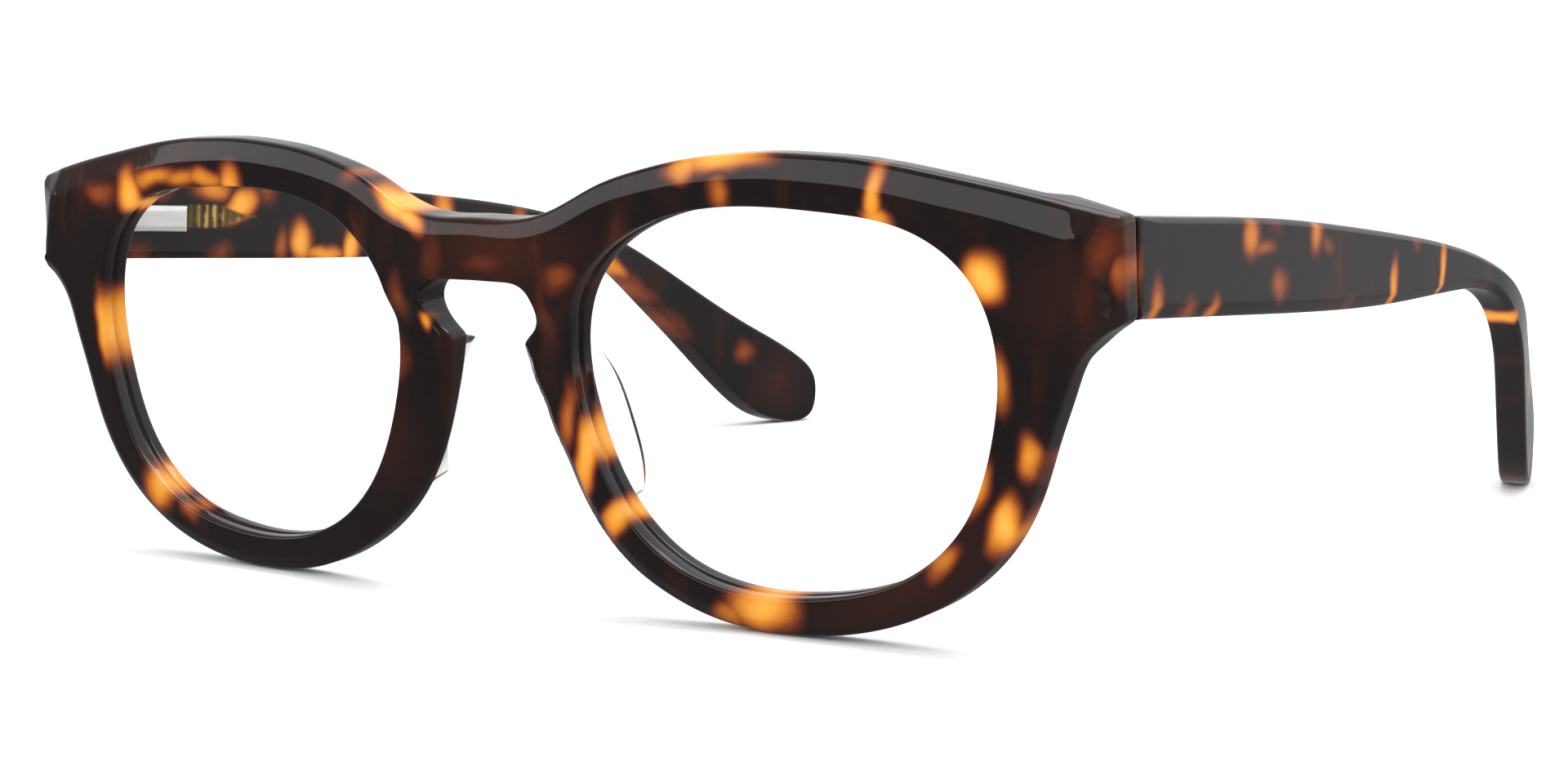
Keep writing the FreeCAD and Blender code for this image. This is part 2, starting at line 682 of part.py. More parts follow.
def main():
    leaf = build_front_hinge()
    housing = build_housing()
    core = build_core()
    rims = build_front()
    room = fuse("front_room", *both_sides("hinge_room", hinge_opening("hinge_opening")),
                *both_sides("foot_room", foot_pocket("foot_pocket")))
    front = cut("front", rims, room)
    housing_room = box("housing_room",
                       ("pin_inset - 1", "housing_start - 0.1", "- housing_half"),
                       ("pin_inset + housing_sunk", "housing_start + housing_length", "housing_half"))
    sided = {"nose_pad": build_pad(), "front_hinge": leaf, "hinge_screw": build_screw(),
             "spring_slider": build_slider(), "spring_retainer": build_retainer(),
             "coil_spring": build_coil(), "spring_housing": housing, "housing_plug": build_plug(),
             "temple": build_temple(housing_room, core), "temple_core": core}
    pieces = [("front_frame", front)]
    for label, source in sided.items():
        placed = copy_of("placed_" + label, source, Placement() if label == "nose_pad" else HINGE)
        pieces.append((label + "_left", placed))
        pieces.append((label + "_right", mirrored("mirror_" + label, placed)))
    DOCUMENT.recompute()
    stand = standing_place(pieces)
    nodes = []
    for label, source in pieces:
        node = copy_of("node_" + label, source, stand)
        node.Label = label
        nodes.append(node)
    DOCUMENT.recompute()
    check(DOCUMENT.Objects)
    os.makedirs("parts", exist_ok=True)
    for node in nodes:
        node.Shape.exportStep("parts/%s.step" % node.Label)
        bounds = node.Shape.optimalBoundingBox(False, False)
        print("%-22s solids %d volume %9.3f  x %.2f %.2f  y %.2f %.2f  z %.2f %.2f" % (
            node.Label, len(node.Shape.Solids), node.Shape.Volume, bounds.XMin, bounds.XMax,
            bounds.YMin, bounds.YMax, bounds.ZMin, bounds.ZMax))
    pin = stand * HINGE
    print("shift", stand.Base, "pin", pin.Base, "axis", pin.Rotation.multVec(Vector(0, 0, 1)),
          "along", pin.Rotation.multVec(Vector(0, 1, 0)))


main()
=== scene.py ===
"""Looks of the acetate eyeglasses frame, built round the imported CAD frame.

Lengths in the drawing functions are millimetres in one of two local frames: the front's (X to the
wearer's left, Y back, Z up the front) and a temple's (origin at the hinge pin, X out of the temple,
Y along it, Z up the pin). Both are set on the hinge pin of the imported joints.
"""

import json
import math

import bmesh
import bpy
import numpy as np
from mathutils import Matrix, Vector
from mathutils.geometry import delaunay_2d_cdt


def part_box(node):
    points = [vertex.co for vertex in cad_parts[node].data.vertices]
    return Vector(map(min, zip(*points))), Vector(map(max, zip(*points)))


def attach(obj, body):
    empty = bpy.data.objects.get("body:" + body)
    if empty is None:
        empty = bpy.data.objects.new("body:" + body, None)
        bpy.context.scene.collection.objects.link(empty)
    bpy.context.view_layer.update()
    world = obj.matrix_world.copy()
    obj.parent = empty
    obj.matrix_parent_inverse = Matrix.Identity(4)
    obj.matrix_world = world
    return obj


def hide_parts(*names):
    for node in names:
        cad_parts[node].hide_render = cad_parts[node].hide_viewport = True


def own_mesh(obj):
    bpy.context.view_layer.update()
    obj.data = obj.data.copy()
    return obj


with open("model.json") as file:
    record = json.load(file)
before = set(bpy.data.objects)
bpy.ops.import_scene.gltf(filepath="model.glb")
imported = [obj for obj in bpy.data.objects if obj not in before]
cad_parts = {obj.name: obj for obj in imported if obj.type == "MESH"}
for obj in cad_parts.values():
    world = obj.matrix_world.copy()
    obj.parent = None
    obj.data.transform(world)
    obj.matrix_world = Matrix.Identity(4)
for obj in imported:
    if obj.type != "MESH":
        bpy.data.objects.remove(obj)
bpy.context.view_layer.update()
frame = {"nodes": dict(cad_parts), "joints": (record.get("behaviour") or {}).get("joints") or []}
MM = 0.001
JOINTS = {joint["name"]: joint for joint in frame["joints"]}

# ------------------------------------------------------------------ local frames

FRONT_TILT = math.radians(3.67)
TEMPLE_SLOPE = math.radians(3.8)
TOE_IN = math.radians(1.15)
END_DEPTH = 10.5
PIN_RISE = 8.5
TEMPLE_THICKNESS = 4.0
PIN_INSET = 0.8
PIN = Vector(JOINTS["left_fold"]["pos_m"]) / MM
HALF_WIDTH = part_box("front_frame")[1].x / MM

TILT = Matrix.Rotation(FRONT_TILT, 4, "X")
FRONT_ORIGIN = PIN - TILT @ Vector((PIN.x, END_DEPTH, PIN_RISE))
FRONT_TO_ROW = Matrix.Translation(FRONT_ORIGIN) @ TILT
TEMPLE_TURN = Matrix.Rotation(-TEMPLE_SLOPE, 4, "X") @ Matrix.Rotation(TOE_IN, 4, "Z")
TEMPLE_TO_ROW = Matrix.Translation(PIN) @ TEMPLE_TURN
MITRE_SLOPE = math.tan(FRONT_TILT + TEMPLE_SLOPE)


def to_row(points, matrix, side=1):
    """Local points, an (n, 3) array in mm, as row coordinates in metres; side -1 mirrors them."""
    turned = points @ np.array(matrix.to_3x3()).T + np.array(matrix.translation)
    turned[:, 0] *= side
    return turned * MM


# ------------------------------------------------------------------ curves

def smooth_curve(points, closed=False):
    """A cubic spline through points; returns a function from 0..1 to points."""
    pts = np.array(points, float)
    if closed:
        pts = np.vstack([pts, pts[:1]])
    steps = np.linalg.norm(np.diff(pts, axis=0), axis=1)
    knots = np.concatenate([[0], np.cumsum(steps)])
    count = len(pts)
    matrix = np.zeros((count, count))
    right = np.zeros((count, 2))
    for i in range(1, count - 1):
        matrix[i, i - 1:i + 2] = steps[i - 1], 2 * (steps[i - 1] + steps[i]), steps[i]
        right[i] = 6 * ((pts[i + 1] - pts[i]) / steps[i] - (pts[i] - pts[i - 1]) / steps[i - 1])
    if closed:
        matrix[0, 0], matrix[0, -1] = 1, -1
        matrix[-1, 0], matrix[-1, 1] = 2 * steps[0], steps[0]
        matrix[-1, -1], matrix[-1, -2] = 2 * steps[-1], steps[-1]
        right[-1] = 6 * ((pts[1] - pts[0]) / steps[0] - (pts[-1] - pts[-2]) / steps[-1])
    else:
        matrix[0, 0] = matrix[-1, -1] = 1
    bends = np.linalg.solve(matrix, right)

    def at(fraction):
        where = np.asarray(fraction, float) * knots[-1]
        i = np.clip(np.searchsorted(knots, where, side="right") - 1, 0, count - 2)
        width = steps[i][:, None]
        a = (knots[i + 1] - where)[:, None]
        b = (where - knots[i])[:, None]
        return ((bends[i] * a ** 3 + bends[i + 1] * b ** 3) / (6 * width)
                + (pts[i] / width - bends[i] * width / 6) * a
                + (pts[i + 1] / width - bends[i + 1] * width / 6) * b)
    return at


def run(points, closed=False, count=600):
    return smooth_curve(points, closed)(np.linspace(0, 1, count, endpoint=not closed))


def resampled(loop, spacing):
    """A closed loop with evenly spaced points."""
    closed = np.vstack([loop, loop[:1]])
    lengths = np.concatenate([[0], np.cumsum(np.linalg.norm(np.diff(closed, axis=0), axis=1))])
    count = int(round(lengths[-1] / spacing))
    where = np.linspace(0, lengths[-1], count, endpoint=False)
    return np.stack([np.interp(where, lengths, closed[:, k]) for k in (0, 1)], 1)


def softened(loop, reach, spacing):
    """A closed loop whose corners are rounded by a Gaussian of the given reach."""
    span = int(4 * reach / spacing)
    weights = np.exp(-0.5 * (np.arange(-span, span + 1) * spacing / reach) ** 2)
    weights /= weights.sum()
    padded = np.vstack([loop[-span:], loop, loop[:span]])
    return np.stack([np.convolve(padded[:, k], weights, "valid") for k in (0, 1)], 1)


def step(low, high, value):
    """Smooth step from 0 at low to 1 at high."""
    part = np.clip((value - low) / (high - low), 0, 1)
    return part * part * (3 - 2 * part)


def nearest(points, loop):
    """Distance to a closed loop and the index of its nearest point, for every point."""
    distance = np.empty(len(points))
    index = np.empty(len(points), int)
    start, end = loop, np.roll(loop, -1, 0)
    along = end - start
    square = (along ** 2).sum(1)
    for low in range(0, len(points), 800):
        part = points[low:low + 800]
        away = part[:, None] - start[None]
        share = np.clip((away * along).sum(2) / square, 0, 1)
        gap = np.linalg.norm(away - share[..., None] * along, axis=2)
        best = gap.argmin(1)
        index[low:low + 800] = best
        distance[low:low + 800] = gap[np.arange(len(part)), best]
    return distance, index


def inside(points, loop):
    x, z = points[:, :1], points[:, 1:]
    a, b = loop, np.roll(loop, -1, 0)
    crosses = ((a[:, 1] > z) != (b[:, 1] > z)) & (
        x < (b[:, 0] - a[:, 0]) * (z - a[:, 1]) / (b[:, 1] - a[:, 1] + 1e-12) + a[:, 0])
    return crosses.sum(1) % 2 == 1


def left_normals(loop):
    """Unit normals to the left of travel along a closed loop."""
    along = np.roll(loop, -1, 0) - np.roll(loop, 1, 0)
    along /= np.linalg.norm(along, axis=1)[:, None]
    return np.stack([-along[:, 1], along[:, 0]], 1)


# ------------------------------------------------------------------ plates

class Edge:
    """One closed edge of a plate: its loop runs with the material on its left."""

    def __init__(self, loop, bevel, groove=None, offsets=None):
        self.loop = loop
        self.width, self.depth = bevel
        self.groove = groove
        self.offsets = offsets or (0.07, 0.2, 0.42, 0.7, 0.93, 1.0, 1.07, 1.25)


def zoned(loop, zones):
    """Bevel width and depth round a loop, smoothly between the stated places."""
    lengths = np.concatenate([[0], np.cumsum(np.linalg.norm(np.diff(loop, axis=0), axis=1))])
    total = lengths[-1] + np.linalg.norm(loop[0] - loop[-1])
    places = []
    for x, z, width, depth in zones:
        near = int(np.linalg.norm(loop - (x, z), axis=1).argmin())
        places.append((lengths[near], width, depth))
    places.sort()
    first, last = places[0], places[-1]
    places = [(last[0] - total,) + last[1:]] + places + [(first[0] + total,) + first[1:]]
    knots = np.array(places)
    at = np.searchsorted(knots[:, 0], lengths, side="right") - 1
    at = np.clip(at, 0, len(knots) - 2)
    share = step(0, 1, (lengths - knots[at, 0]) / np.maximum(knots[at + 1, 0] - knots[at, 0], 1e-6))
    mix = [knots[at, k] * (1 - share) + knots[at + 1, k] * share for k in (1, 2)]
    return mix[0], mix[1]


def bevel_fall(ratio):
    """How far down a bevel is: 1 at the edge, 0 inside, with a soft shoulder."""
    soft = 0.09
    return np.where(ratio > 1 + soft, 0, np.where(ratio < 1 - soft, 1 - ratio,
                    (1 + soft - ratio) ** 2 / (4 * soft)))


LIP = 0.28


def lip_fall(distance):
    """The small rounding of every edge."""
    part = np.clip(1 - distance / LIP, 0, 1)
    return LIP * (1 - np.sqrt(1 - part ** 2))


def plate(name, edges, front, rear, place, spacing=0.9, rear_round=0.5):
    """A plate between two surfaces over a region bounded by edges, as one closed mesh.

    front and rear give depth over the region, and place turns (x, z, depth) into 3-D points.
    """
    rings = []
    points = []
    constraints = []
    for edge in edges:
        normals = left_normals(edge.loop)
        others = [other for other in edges if other is not edge]
        for ratio in (0,) + tuple(edge.offsets):
            away = np.maximum(edge.width * ratio, 0.03 * (ratio > 0))
            ring = edge.loop + normals * away[:, None]
            keep = np.ones(len(ring), bool)
            if ratio:
                keep = nearest(ring, edge.loop)[0] > away * 0.97 - 1e-4
                for other in others:
                    keep &= nearest(ring, other.loop)[0] > other.width.max() * 0.3
            start = sum(len(part) for part in points)
            kept = np.flatnonzero(keep)
            points.append(ring[keep])
            if not ratio:
                rings.append((start, len(ring)))
            for a, b in zip(range(len(kept)), list(range(1, len(kept))) + [0]):
                gap = (kept[b] - kept[a]) % len(ring)
                if gap == 1:
                    constraints.append((start + a, start + b))
    low, high = edges[0].loop.min(0), edges[0].loop.max(0)
    columns = np.arange(low[0], high[0], spacing)
    rows = np.arange(low[1], high[1], spacing * 0.87)
    grid = np.array([(x + (r % 2) * spacing / 2, z) for r, z in enumerate(rows) for x in columns])
    grid = grid[inside(grid, edges[0].loop)]
    for edge in edges:
        distance, index = nearest(grid, edge.loop)
        grid = grid[distance > edge.width[index] * 1.25 + 0.4]
    for edge in edges[1:]:
        grid = grid[~inside(grid, edge.loop)]
    points.append(grid)
    flat = np.vstack(points)
    result = delaunay_2d_cdt([Vector(p) for p in flat], constraints, [], 0, 1e-5)
    flat = np.array([tuple(v) for v in result[0]])
    origin = {}
    for new, olds in enumerate(result[3]):
        for old in olds:
            origin[old] = new
    triangles = np.array([f for f in result[2] if len(f) == 3])
    middles = flat[triangles].mean(1)
    good = inside(middles, edges[0].loop)
    for edge in edges[1:]:
        good &= ~inside(middles, edge.loop)
    triangles = triangles[good]
    side = flat[triangles[:, 1]] - flat[triangles[:, 0]]
    other = flat[triangles[:, 2]] - flat[triangles[:, 0]]
    flip = side[:, 0] * other[:, 1] - side[:, 1] * other[:, 0] < 0
    triangles[flip] = triangles[flip][:, ::-1]
    front_depth = front(flat[:, 0], flat[:, 1])
    rear_depth = rear(flat[:, 0], flat[:, 1])
    for edge in edges:
        distance, index = nearest(flat, edge.loop)
        ratio = distance / np.maximum(edge.width[index], 0.05)
        front_depth = front_depth + edge.depth[index] * bevel_fall(ratio) + lip_fall(distance)
        part = np.clip(1 - distance / rear_round, 0, 1)
        rear_depth = rear_depth - rear_round * (1 - np.sqrt(1 - part ** 2)) * 0.8
    count = len(flat)
    verts = [place(flat[:, 0], flat[:, 1], front_depth), place(flat[:, 0], flat[:, 1], rear_depth)]
    faces = [tuple(t) for t in triangles] + [tuple(t[::-1] + count) for t in triangles]
    total = 2 * count
    for edge, (start, length) in zip(edges, rings):
        loop = [origin[start + i] for i in range(length)]
        normals = left_normals(edge.loop)
        base = np.array([origin[start + i] for i in range(length)])
        levels = [base]
        shares = edge.groove or ((0.25, 0), (0.5, 0), (0.75, 0))
        for share, sink in shares:
            depth = front_depth[base] * (1 - share) + rear_depth[base] * share
            spots = flat[base] + normals * sink
            verts.append(place(spots[:, 0], spots[:, 1], depth))
            levels.append(np.arange(total, total + length))
            total += length
        levels.append(base + count)
        for upper, lower in zip(levels, levels[1:]):
            ahead = np.roll(upper, -1), np.roll(lower, -1)
            faces += [tuple(int(v) for v in quad) for quad in zip(upper, lower, ahead[1], ahead[0])]
    mesh = bpy.data.meshes.new(name)
    mesh.from_pydata([tuple(v) for v in np.vstack(verts)], [],
                     [tuple(int(v) for v in f) for f in faces])
    return finish_mesh(name, mesh)


def finish_mesh(name, mesh):
    """Cleans a mesh, points its faces outward and shades it smooth."""
    work = bmesh.new()
    work.from_mesh(mesh)
    bmesh.ops.remove_doubles(work, verts=work.verts, dist=1e-7)
    bmesh.ops.recalc_face_normals(work, faces=work.faces)
    work.to_mesh(mesh)
    work.free()
    mesh.polygons.foreach_set("use_smooth", [True] * len(mesh.polygons))
    piece = bpy.data.objects.new(name, mesh)
    bpy.context.scene.collection.objects.link(piece)
    return piece


def carve(piece, tools):
    """Cuts tool objects out of a piece and removes them."""
    for tool in tools:
        cut = piece.modifiers.new("cut", "BOOLEAN")
        cut.operation = "DIFFERENCE"
        cut.solver = "EXACT"
        cut.object = tool
    graph = bpy.context.evaluated_depsgraph_get()
    mesh = bpy.data.meshes.new_from_object(piece.evaluated_get(graph))
    piece.modifiers.clear()
    piece.data = mesh
    for tool in tools:
        bpy.data.objects.remove(tool)
    return piece


def block(low, high, matrix, side):
    """A box tool between two corners of a local frame."""
    corners = np.array([(x, y, z) for x in (low[0], high[0]) for y in (low[1], high[1])
                        for z in (low[2], high[2])], float)
    verts = to_row(corners, matrix, side)
    faces = [(0, 1, 3, 2), (4, 6, 7, 5), (0, 4, 5, 1), (2, 3, 7, 6), (0, 2, 6, 4), (1, 5, 7, 3)]
    mesh = bpy.data.meshes.new("tool")
    mesh.from_pydata([tuple(v) for v in verts], [], faces)
    return finish_mesh("tool", mesh)


# ------------------------------------------------------------------ front

LENS_WIDTH, LENS_HEIGHT, BRIDGE_WIDTH = 49.4, 39.9, 23.7
LENS_X = (BRIDGE_WIDTH + LENS_WIDTH) / 2
LENS_Z = -5.7
BOW_RADIUS = 492.0
THICKNESS = 4.0
BRIDGE_RISE = 1.35
LENS_SHAPE = [(1.0, 0.29), (0.89, 0.67), (0.63, 0.90), (0.26, 0.98), (-0.07, 1.0),
              (-0.47, 0.94), (-0.79, 0.75), (-0.94, 0.53), (-1.0, 0.22), (-0.95, -0.16),
              (-0.80, -0.57), (-0.52, -0.88), (-0.15, -1.0), (0.21, -0.98), (0.57, -0.85),
              (0.84, -0.55), (0.97, -0.13)]
OUTLINE_TOP = [(0, 12.2), (5.9, 12.2), (10.5, 13.3), (16.05, 16.0), (21.05, 17.6), (26.05, 18.7),
               (31.05, 19.3), (36.55, 19.6), (41, 19.5), (46.2, 19.2), (55.8, 17.7), (65.8, 15.7),
               (HALF_WIDTH, 13.75)]
OUTLINE_LOW = [(HALF_WIDTH, 3.6), (71.5, 2.2), (69.25, -0.3), (67.85, -3.7), (66.15, -8.3),
               (63.95, -14.6), (59.15, -21.75), (51.65, -26.75), (44.15, -29.05), (36.55, -29.75),
               (28.55, -29.05), (20.55, -26.05), (12.55, -19.75), (9.3, -14.75), (7.5, -10.35),
               (5.9, -5.05), (5.0, -1.1)]
ARCH = [(5.0, -1.1), (7.3, 1.1), (8.0, 3.2), (6.6, 5.1), (4.0, 5.55), (0, 5.6)]
# Bevel width and depth at places round the front's edge, right half.
FRONT_BEVELS = [(0, 12.2, 1.7, 0.85), (12, 14.0, 2.1, 0.85), (30, 19.2, 2.5, 0.9),
                (60, 16.8, 2.9, 1.05), (69, 14.9, 3.2, 1.15), (73.6, 12.6, 0.6, 0.4),
                (73.6, 6.0, 0.5, 0.35), (71.5, 2.2, 1.6, 0.9), (66.1, -8.3, 1.3, 0.7),
                (44.1, -29.0, 1.5, 0.8), (20.5, -26.0, 1.7, 1.1), (9.3, -14.7, 2.7, 2.5),
                (6.9, -8.5, 2.0, 1.7), (5.5, -3.6, 1.2, 0.8), (6.4, 0.3, 0.5, 0.3),
                (8.0, 3.2, 0.35, 0.15), (0, 5.6, 0.35, 0.12)]


def mirror(points):
    return [(-x,) + tuple(rest) for x, *rest in reversed(points)]


def front_loop(spacing=0.32):
    top = run(mirror(OUTLINE_TOP)[:-1] + OUTLINE_TOP, count=900)
    low = run(OUTLINE_LOW, count=900)
    arch = run(ARCH + mirror(ARCH)[1:], count=400)
    low_back = np.array(mirror(low.tolist()))
    loop = np.vstack([top, low, arch, low_back])[::-1]
    return softened(resampled(loop, 0.1), 0.4, 0.1)[::3]


def lens_loop(side):
    points = [(side * (LENS_X + x * LENS_WIDTH / 2), LENS_Z + z * LENS_HEIGHT / 2)
              for x, z in LENS_SHAPE]
    loop = resampled(run(points, closed=True, count=900), 0.32)
    area = (loop[:, 0] * np.roll(loop[:, 1], -1) - np.roll(loop[:, 0], -1) * loop[:, 1]).sum()
    return loop[::-1] if area > 0 else loop


def bow(x):
    return BOW_RADIUS - np.sqrt(BOW_RADIUS ** 2 - x ** 2)


def front_face(x, z):
    """Depth of the front surface: bowed, proud at the bridge, wrapped at the end pieces."""
    out = np.abs(x)
    bridge = step(0.0, 4.2, z)
    proud = -BRIDGE_RISE * bridge * (1 - step(7.0, 24.0, out))
    sunk = 0.5 * (1 - bridge) * (1 - step(5.0, 12.0, out))
    wide = 1.2 + 0.33 * np.clip(z - 3.6, 0, 11)
    past = np.maximum(out - HALF_WIDTH + wide, 0) / wide
    corner = 1.9 * past ** 2 / (past + 0.05)
    return bow(x) + proud + sunk + corner


def rear_face(x, z):
    """Depth of the rear surface, with the thick end pieces that take the hinges."""
    out = np.abs(x)
    end = step(HALF_WIDTH - 8.8, HALF_WIDTH - 6.2, out) * step(-0.4, 1.8, z)
    return (bow(x) + THICKNESS) * (1 - end) + END_DEPTH * end


# The lens groove: share of the way from front to rear, and depth into the rim.
LENS_GROOVE = ((0.12, 0), (0.3, 0), (0.37, 0.02), (0.4, 0.1), (0.5, 0.6), (0.6, 0.1),
               (0.63, 0.02), (0.7, 0), (0.88, 0))


def build_front():
    outer = front_loop()
    zones = FRONT_BEVELS + mirror(FRONT_BEVELS)
    edges = [Edge(outer, zoned(outer, zones))]
    for side in (1, -1):
        loop = lens_loop(side)
        flat = np.full(len(loop), 0.45)
        edges.append(Edge(loop, (flat, flat * 0.3), groove=LENS_GROOVE,
                          offsets=(0.15, 0.45, 0.9, 1.5)))

    def place(x, z, depth):
        return to_row(np.stack([x, depth, z], 1), FRONT_TO_ROW)

    piece = plate("front_rims", edges, front_face, rear_face, place)
    room = [block((-6, -1.6, -2.9), (1.5, 4, 2.9), TEMPLE_TO_ROW, side) for side in (1, -1)]
    return carve(piece, room)


# ------------------------------------------------------------------ temples

BEND_START = 95.0
TURN_RADIUS, TIP_TURN = 57.0, math.radians(17.0)
TEMPLE_TOP = [(-1.2, 5.0), (14, 5.0), (30.4, 5.0), (47.5, 4.4), (64.6, 3.45), (76, 2.6),
              (85.5, 1.5), (95, -0.3), (105.1, -3.6), (115.2, -9.0), (126.2, -15.0),
              (135.5, -19.8), (138.3, -22.35), (139, -25.8), (138.1, -28.8), (134.6, -30.0)]
TEMPLE_LOW = [(134.6, -30.0), (129.8, -28.95), (124.5, -25.65), (116.6, -18.6), (107.8, -10.95),
              (101.6, -6.45), (97.6, -4.5), (93.4, -3.3), (85.5, -3.05), (76, -3.65),
              (65.5, -4.35), (56, -4.75), (39, -5.0), (19, -5.0), (-1.2, -5.0)]
TEMPLE_BEVELS = [(2, -5.0, 1.3, 0.8), (40, -5.0, 1.3, 0.8), (85, -3.0, 1.1, 0.7),
                 (100, -5.6, 0.7, 0.45), (116, -18.3, 0.5, 0.3), (134, -30, 0.5, 0.3),
                 (138, -22, 0.5, 0.3), (100, -1.7, 0.5, 0.3), (60, 3.8, 0.6, 0.35),
                 (5, 5.0, 0.6, 0.35), (-1.2, 3, 0.08, 0.02), (-1.2, -3, 0.08, 0.02)]


def turn_in(y):
    """How far the temple has turned in towards the head at a length along it."""
    past = np.maximum(y - BEND_START, 0)
    reach = TURN_RADIUS * math.sin(TIP_TURN)
    arc = TURN_RADIUS - np.sqrt(TURN_RADIUS ** 2 - np.minimum(past, reach) ** 2)
    return arc + np.maximum(past - reach, 0) * math.tan(TIP_TURN)


def build_temple(side, label):
    top = run(TEMPLE_TOP, count=700)
    low = run(TEMPLE_LOW, count=700)
    loop = resampled(np.vstack([top, low]), 0.08)
    loop = softened(loop, 0.22, 0.08)[::4]
    area = (loop[:, 0] * np.roll(loop[:, 1], -1) - np.roll(loop[:, 0], -1) * loop[:, 1]).sum()
    loop = loop[::-1] if area < 0 else loop
    edge = Edge(loop, zoned(loop, TEMPLE_BEVELS))
    outer = PIN_INSET + TEMPLE_THICKNESS

    def place(y, z, depth):
        lean = np.clip(1 - y / 12, 0, 1.2)
        shifted = np.maximum(y, -1.2) + (1.26 - z * MITRE_SLOPE) * lean * (y < 12)
        points = np.stack([outer - depth, shifted, z], 1)
        return to_row(points, TEMPLE_TO_ROW, side)

    def outer_face(y, z):
        return turn_in(y)

    def inner_face(y, z):
        return turn_in(y) + TEMPLE_THICKNESS

    piece = plate("temple_body_" + label, [edge], outer_face, inner_face, place, spacing=1.1)
    room = [block((-2, -3, -2.9), (1.5, 2.7, 2.9), TEMPLE_TO_ROW, side)]
    return carve(piece, room)


# ------------------------------------------------------------------ nose pads

PAD_HEIGHT, PAD_DROP, PAD_ROOT, PAD_EDGE, PAD_REACH, PAD_FLARE = 17.4, 10.2, 3.2, 1.3, 5.0, 4.7


PAD_POINTS = 72


def pad_loop(share, shrink):
    """One closed line round a pad, from the rim at share 0 to its free edge at share 1."""
    wide = PAD_ROOT + (PAD_EDGE - PAD_ROOT) * share
    tall = PAD_HEIGHT * (1.05 - 0.15 * share)
    out = 0.3 + (PAD_FLARE - 0.3) * share ** 1.25
    angle = np.linspace(0, 2 * np.pi, PAD_POINTS, endpoint=False)
    along = -np.cos(angle) * (1 - 0.35 * (1 - shrink) * wide / tall)
    across = np.sin(angle)
    across = np.sign(across) * np.abs(across) ** 0.75 * wide / 2 * shrink
    drop = PAD_DROP + along * tall / 2
    nose_side = 5.2 + 0.056 * drop + 0.016 * drop ** 2
    flare = out * (1 - 0.25 * (along + 0.25) ** 2) * (1 - 0.45 * along ** 4)
    return nose_side + flare + wide / 2 + across, -drop


def build_pad(side, label):
    verts = []
    faces = []
    levels = [(-0.12, 1), (0, 1), (0.12, 1), (0.25, 1), (0.4, 1), (0.55, 1), (0.7, 1), (0.84, 1),
              (0.93, 0.97), (0.97, 0.87), (0.99, 0.66), (1.0, 0.35)]
    for number, (share, shrink) in enumerate(levels):
        x, z = pad_loop(max(share, 0), shrink)
        y = bow(x) + THICKNESS + PAD_REACH * share - 0.05
        verts.append(to_row(np.stack([x, y, z], 1), FRONT_TO_ROW, side))
        if number:
            low, high = PAD_POINTS * (number - 1), PAD_POINTS * number
            for i in range(PAD_POINTS):
                j = (i + 1) % PAD_POINTS
                faces.append((low + i, low + j, high + j, high + i))
    last = PAD_POINTS * (len(levels) - 1)
    faces.append(tuple(range(PAD_POINTS)))
    faces.append(tuple(range(last, last + PAD_POINTS)))
    mesh = bpy.data.meshes.new("pad")
    mesh.from_pydata([tuple(v) for v in np.vstack(verts)], [], faces)
    return finish_mesh("pad_" + label, mesh)


# ------------------------------------------------------------------ coils

# Millimetres along and round the rod, in the temple's frame.
COIL_START, COIL_END, COIL_RADIUS, COIL_TURNS, WIRE_RADIUS = 3.4, 11.7, 0.7, 9, 0.25


def build_coil(side, label):
    """The coil between the housing's front wall and the collar."""
    sides = 10
    rings = 24 * COIL_TURNS
    first = COIL_START + WIRE_RADIUS + 0.03
    length = COIL_END - COIL_START - 2 * (WIRE_RADIUS + 0.03)
    angle = np.linspace(0, 2 * np.pi * COIL_TURNS, rings + 1)[:, None]
    around = np.linspace(0, 2 * np.pi, sides, endpoint=False)[None]
    reach = COIL_RADIUS + WIRE_RADIUS * np.cos(around)
    along = first + length * angle / angle[-1] + WIRE_RADIUS * np.sin(around)
    points = np.stack([reach * np.cos(angle), along, -reach * np.sin(angle)], 2).reshape(-1, 3)
    faces = []
    for ring in range(rings):
        low, high = sides * ring, sides * (ring + 1)
        for i in range(sides):
            j = (i + 1) % sides
            faces.append((low + i, low + j, high + j, high + i))
    faces.append(tuple(range(sides)))
    faces.append(tuple(range(sides * rings, sides * (rings + 1))))
    mesh = bpy.data.meshes.new("coil")
    mesh.from_pydata([tuple(v) for v in to_row(points, TEMPLE_TO_ROW, side)], [], faces)
    return finish_mesh("coil_" + label, mesh)


# ------------------------------------------------------------------ materials

